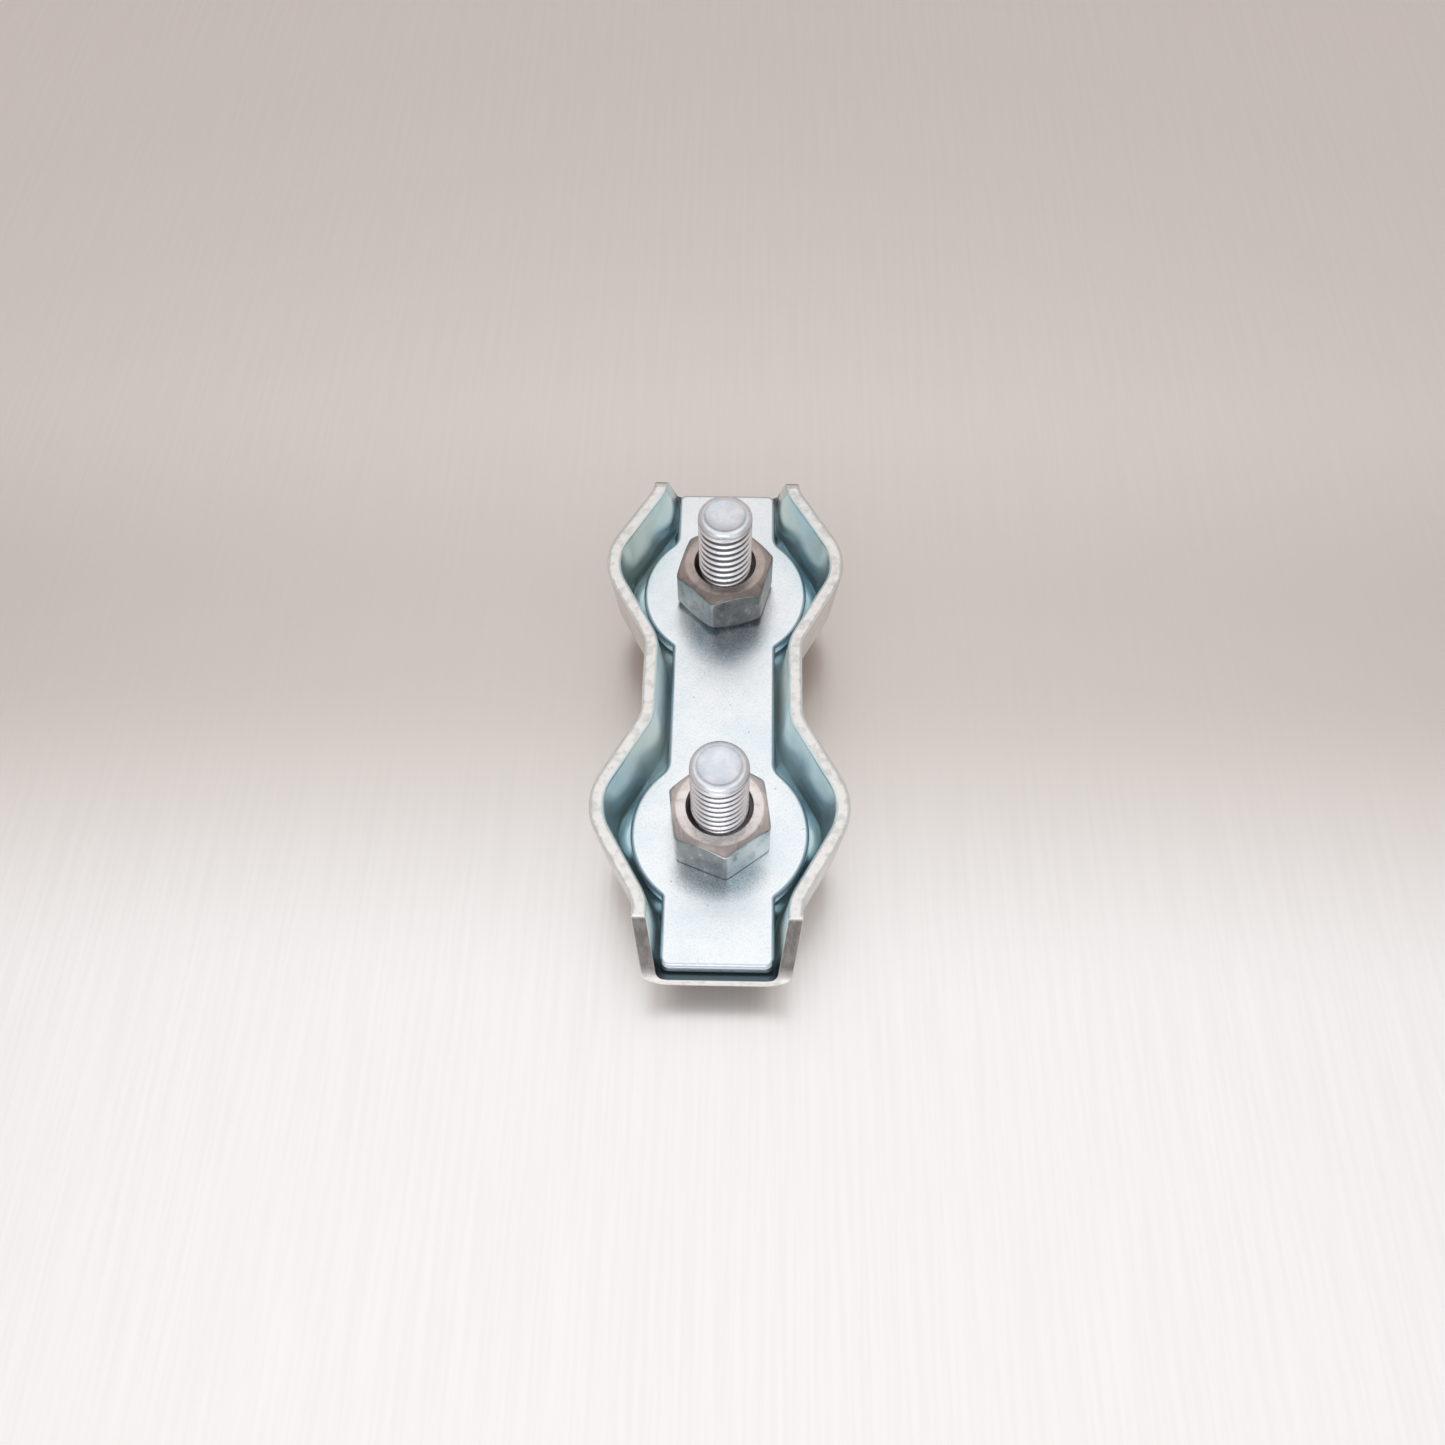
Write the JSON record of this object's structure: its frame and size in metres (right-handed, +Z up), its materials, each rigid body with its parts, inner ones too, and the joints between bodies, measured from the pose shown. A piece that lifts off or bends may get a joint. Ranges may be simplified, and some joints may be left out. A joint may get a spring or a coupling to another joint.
{
  "type": "duplex wire rope clip",
  "caption": "Duplex wire rope clip: a waved sheet channel, a flat clamp plate and hexagon bolts with nuts that squeeze a folded-back rope between them.",
  "frame": {"origin": "middle of the surface that the two bolt heads stand on, midway between the bolts", "axes": "+X across the clip, +Y along the rope, +Z up through the bolts"},
  "size_m": [0.0214, 0.0506, 0.0179],
  "materials": {
    "passivated_sheet": "zinc plated with a blue-green passivation and pale sheared edges",
    "zinc_plate": "bright satin zinc with a faint blue tint",
    "zinc_bolt": "bright zinc",
    "pale_nut": "worn zinc, pale and slightly warm",
    "brown_nut": "worn zinc, brown-grey, scuffed"
  },
  "bodies": {
    "saddle_and_bolts": {"saddle": "passivated_sheet", "bolt_front": "zinc_bolt", "bolt_rear": "zinc_bolt"},
    "plate": {"clamp_plate": "zinc_plate"},
    "front_nut": {"nut_front": "pale_nut"},
    "rear_nut": {"nut_rear": "brown_nut"}
  },
  "joints": [
    {"name": "plate_lift", "type": "slide", "parent": "saddle_and_bolts", "child": "plate", "axis": [0, 0, 1], "range_m": [0, 0.0056]},
    {"name": "nut_front_spin", "type": "hinge", "parent": "plate", "child": "front_nut", "pos_m": [0, -0.0125, 0.0087], "axis": [0, 0, 1], "range_deg": [0, 2520]},
    {"name": "nut_rear_spin", "type": "hinge", "parent": "plate", "child": "rear_nut", "pos_m": [0, 0.0125, 0.0087], "axis": [0, 0, 1], "range_deg": [0, 2520]}
  ],
  "couplings": [
    {"joint": "nut_front_spin", "follows": "plate_lift", "rad_per_m": 7854},
    {"joint": "nut_rear_spin", "follows": "plate_lift", "rad_per_m": 7854}
  ]
}
